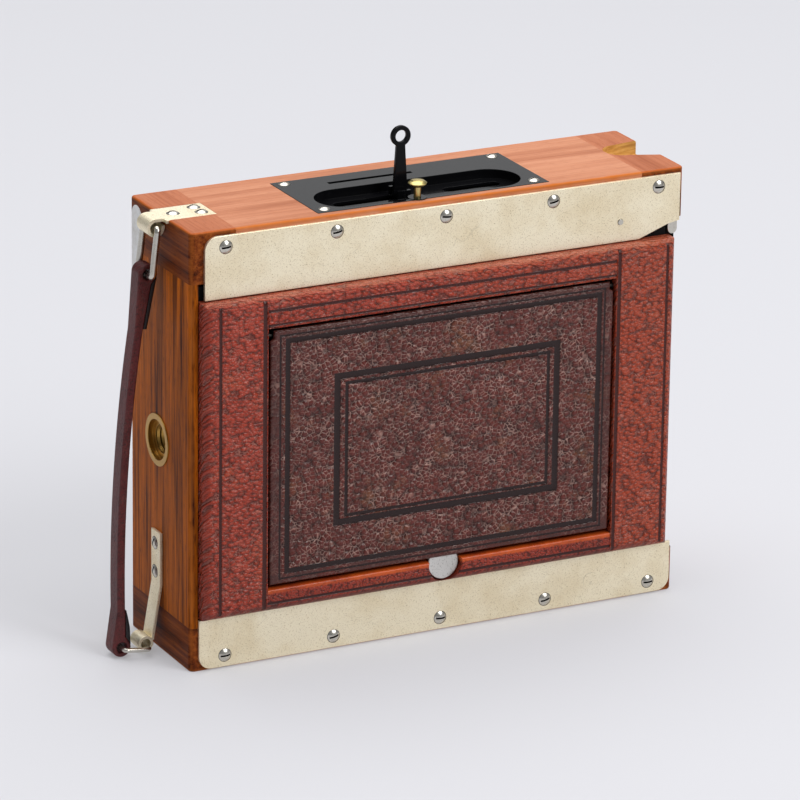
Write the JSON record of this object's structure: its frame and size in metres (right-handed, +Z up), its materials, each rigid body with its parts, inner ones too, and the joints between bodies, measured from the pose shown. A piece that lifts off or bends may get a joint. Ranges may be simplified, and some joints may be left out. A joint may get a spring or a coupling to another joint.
{
  "type": "tropical plate camera",
  "caption": "Folding teak plate camera with German silver fittings, leather focusing back with hood, focal-plane shutter and scissor-strut lens standard.",
  "frame": {"origin": "centre of the tripod bush's mouth in the bottom face, on the middle of the wooden case in width and depth", "axes": "+X to the right seen from the back, +Y forwards through the lens, +Z up"},
  "size_m": [0.2037, 0.0625, 0.1711],
  "materials": {
    "teak": "oiled",
    "teak_end": "oiled",
    "board_wood": "polished",
    "german_silver": "aged satin",
    "nickel": "polished nickel",
    "brass": "polished",
    "black_lacquer": "gloss",
    "black_metal": "matt",
    "leather_frame": "pebble grain",
    "leather_lid": "pebble grain",
    "strap_leather": "smooth",
    "lining_leather": "smooth",
    "bellows_leather": "thin pleated",
    "curtain": "rubbered cloth",
    "glass": "polished",
    "ground_glass": "ground"
  },
  "bodies": {
    "case": {"top_panel": "teak", "bottom_panel": "teak", "left_panel": "teak", "right_panel": "teak", "corner_blocks": "teak_end", "front_frame": "black_lacquer", "rear_plate_top": "german_silver", "rear_plate_bottom": "german_silver", "rear_plate_screws": "nickel", "plate_frame": "black_metal", "shutter_blind": "curtain", "blind_guides": "black_metal", "roller_bearings": "brass", "strut_guides": "nickel", "finder_plate": "black_lacquer", "finder_plate_screws": "nickel", "button_collar": "black_lacquer", "strap_tab_top": "german_silver", "strap_tab_bottom": "german_silver", "strap_tab_screws": "nickel", "tripod_bush_side": "brass", "tripod_bush_bottom": "brass", "bellows_frame": "black_metal", "bellows": "bellows_leather"},
    "back": {"back_stile_left": "leather_frame", "back_stile_right": "leather_frame", "back_rail_top": "leather_frame", "back_rail_bottom": "leather_frame", "slide_plate": "black_metal", "ground_glass": "ground_glass", "glass_clips": "brass", "hood_hinge_rods": "nickel"},
    "lid": {"lid_board": "black_metal", "lid_leather": "leather_lid"},
    "wing_left": {"hood_wing_left": "black_metal"},
    "wing_right": {"hood_wing_right": "black_metal"},
    "wing_bottom": {"hood_wing_bottom": "black_metal"},
    "disc": {"disc_catch": "nickel"},
    "catch": {"back_catch": "nickel"},
    "sight": {"sight_lever": "black_lacquer"},
    "button": {"release_button": "brass"},
    "top_loop": {"strap_loop_top": "nickel"},
    "strap": {"strap": "strap_leather", "strap_lining": "lining_leather"},
    "low_loop": {"strap_loop_bottom": "nickel"},
    "winding": {"upper_roller": "black_metal", "winding_knob": "nickel"},
    "take_up": {"lower_roller": "black_metal"},
    "tension": {"tension_knob": "nickel"},
    "standard": {"front_standard": "black_lacquer", "standard_brackets": "nickel"},
    "lower_struts": {"struts_lower": "nickel"},
    "upper_struts": {"struts_upper": "nickel"},
    "board": {"lens_board": "board_wood"},
    "focus": {"focus_ring": "black_lacquer"},
    "barrel": {"lens_barrel": "brass", "lens_glass": "glass", "iris": "black_metal"},
    "aperture": {"aperture_ring": "nickel"},
    "wire": {"wire_finder": "nickel"}
  },
  "joints": [
    {"name": "back_slide", "type": "slide", "parent": "case", "child": "back", "axis": [1, 0, 0], "range_m": [0, 0.18]},
    {"name": "lid_hinge", "type": "hinge", "parent": "back", "child": "lid", "pos_m": [0, -0.0252, 0.113], "axis": [-1, 0, 0], "range_deg": [0, 90]},
    {"name": "wing_left_hinge", "type": "hinge", "parent": "back", "child": "wing_left", "pos_m": [-0.0629, -0.0238, 0.071], "axis": [0, 0, -1], "range_deg": [0, 90]},
    {"name": "wing_right_hinge", "type": "hinge", "parent": "back", "child": "wing_right", "pos_m": [0.0615, -0.0238, 0.071], "axis": [0, 0, 1], "range_deg": [0, 90]},
    {"name": "wing_bottom_hinge", "type": "hinge", "parent": "back", "child": "wing_bottom", "pos_m": [0, -0.0238, 0.0284], "axis": [1, 0, 0], "range_deg": [0, 90]},
    {"name": "disc_press", "type": "slide", "parent": "back", "child": "disc", "axis": [0, 1, 0], "range_m": [0, 0.001], "stiffness_N_per_m": 600, "springref_m": -0.0005},
    {"name": "catch_swing", "type": "hinge", "parent": "case", "child": "catch", "pos_m": [0.0658, -0.0233, 0.1341], "axis": [0, -1, 0], "range_deg": [0, 12], "stiffness_Nm_per_rad": 0.02, "springref_deg": -20.05},
    {"name": "sight_fold", "type": "hinge", "parent": "case", "child": "sight", "pos_m": [-0.0066, -0.0055, 0.148], "axis": [0, -1, 0], "range_deg": [0, 90]},
    {"name": "button_press", "type": "slide", "parent": "case", "child": "button", "axis": [0, 0, -1], "range_m": [0, 0.0025], "stiffness_N_per_m": 300, "springref_m": -0.001},
    {"name": "top_loop_swing", "type": "hinge", "parent": "case", "child": "top_loop", "pos_m": [-0.0932, 0.0011, 0.1469], "axis": [0, 1, 0], "range_deg": [-4, 8]},
    {"name": "strap_swing", "type": "hinge", "parent": "top_loop", "child": "strap", "pos_m": [-0.0951, 0.0011, 0.1309], "axis": [0, -1, 0], "range_deg": [-6, 10]},
    {"name": "low_loop_swing", "type": "hinge", "parent": "case", "child": "low_loop", "pos_m": [-0.096, 0.0017, 0.0026], "axis": [0, 1, 0], "range_deg": [-2, 2]},
    {"name": "winding_turn", "type": "hinge", "parent": "case", "child": "winding", "pos_m": [0, 0.0012, 0.131], "axis": [1, 0, 0], "range_deg": [0, 360]},
    {"name": "take_up_turn", "type": "hinge", "parent": "case", "child": "take_up", "pos_m": [0, 0.0012, 0.0195], "axis": [1, 0, 0], "range_deg": [0, 360]},
    {"name": "tension_turn", "type": "hinge", "parent": "case", "child": "tension", "pos_m": [0.09, 0.0012, 0.0195], "axis": [1, 0, 0], "range_deg": [0, 330]},
    {"name": "front_slide", "type": "slide", "parent": "case", "child": "standard", "axis": [0, 1, 0], "range_m": [0, 0.08], "deforming": ["bellows"]},
    {"name": "lower_strut_turn", "type": "hinge", "parent": "case", "child": "lower_struts", "pos_m": [0, 0.0097, 0.016], "axis": [-1, 0, 0], "range_deg": [0, 50]},
    {"name": "upper_strut_turn", "type": "hinge", "parent": "lower_struts", "child": "upper_struts", "pos_m": [0, 0.0097, 0.075], "axis": [1, 0, 0], "range_deg": [0, 100]},
    {"name": "board_rise", "type": "slide", "parent": "standard", "child": "board", "axis": [0, 0, 1], "range_m": [0, 0.015]},
    {"name": "focus_turn", "type": "hinge", "parent": "board", "child": "focus", "pos_m": [0, 0.0217, 0.0715], "axis": [0, 1, 0], "range_deg": [0, 110]},
    {"name": "focus_travel", "type": "slide", "parent": "board", "child": "barrel", "axis": [0, 1, 0], "range_m": [0, 0.006]},
    {"name": "aperture_turn", "type": "hinge", "parent": "barrel", "child": "aperture", "pos_m": [0, 0.0307, 0.0715], "axis": [0, 1, 0], "range_deg": [0, 70]},
    {"name": "wire_fold", "type": "hinge", "parent": "standard", "child": "wire", "pos_m": [0, 0.0255, 0.133], "axis": [1, 0, 0], "range_deg": [0, 180]}
  ],
  "couplings": [
    {"joint": "wing_left_hinge", "follows": "lid_hinge", "ratio": 1},
    {"joint": "wing_right_hinge", "follows": "lid_hinge", "ratio": 1},
    {"joint": "wing_bottom_hinge", "follows": "lid_hinge", "ratio": 1},
    {"joint": "strap_swing", "follows": "top_loop_swing", "ratio": 1.1262},
    {"joint": "take_up_turn", "follows": "winding_turn", "ratio": 1},
    {"joint": "lower_strut_turn", "follows": "front_slide", "rad_per_m": 10.69},
    {"joint": "upper_strut_turn", "follows": "front_slide", "rad_per_m": 21.38},
    {"joint": "focus_turn", "follows": "focus_travel", "rad_per_m": 319.98}
  ]
}
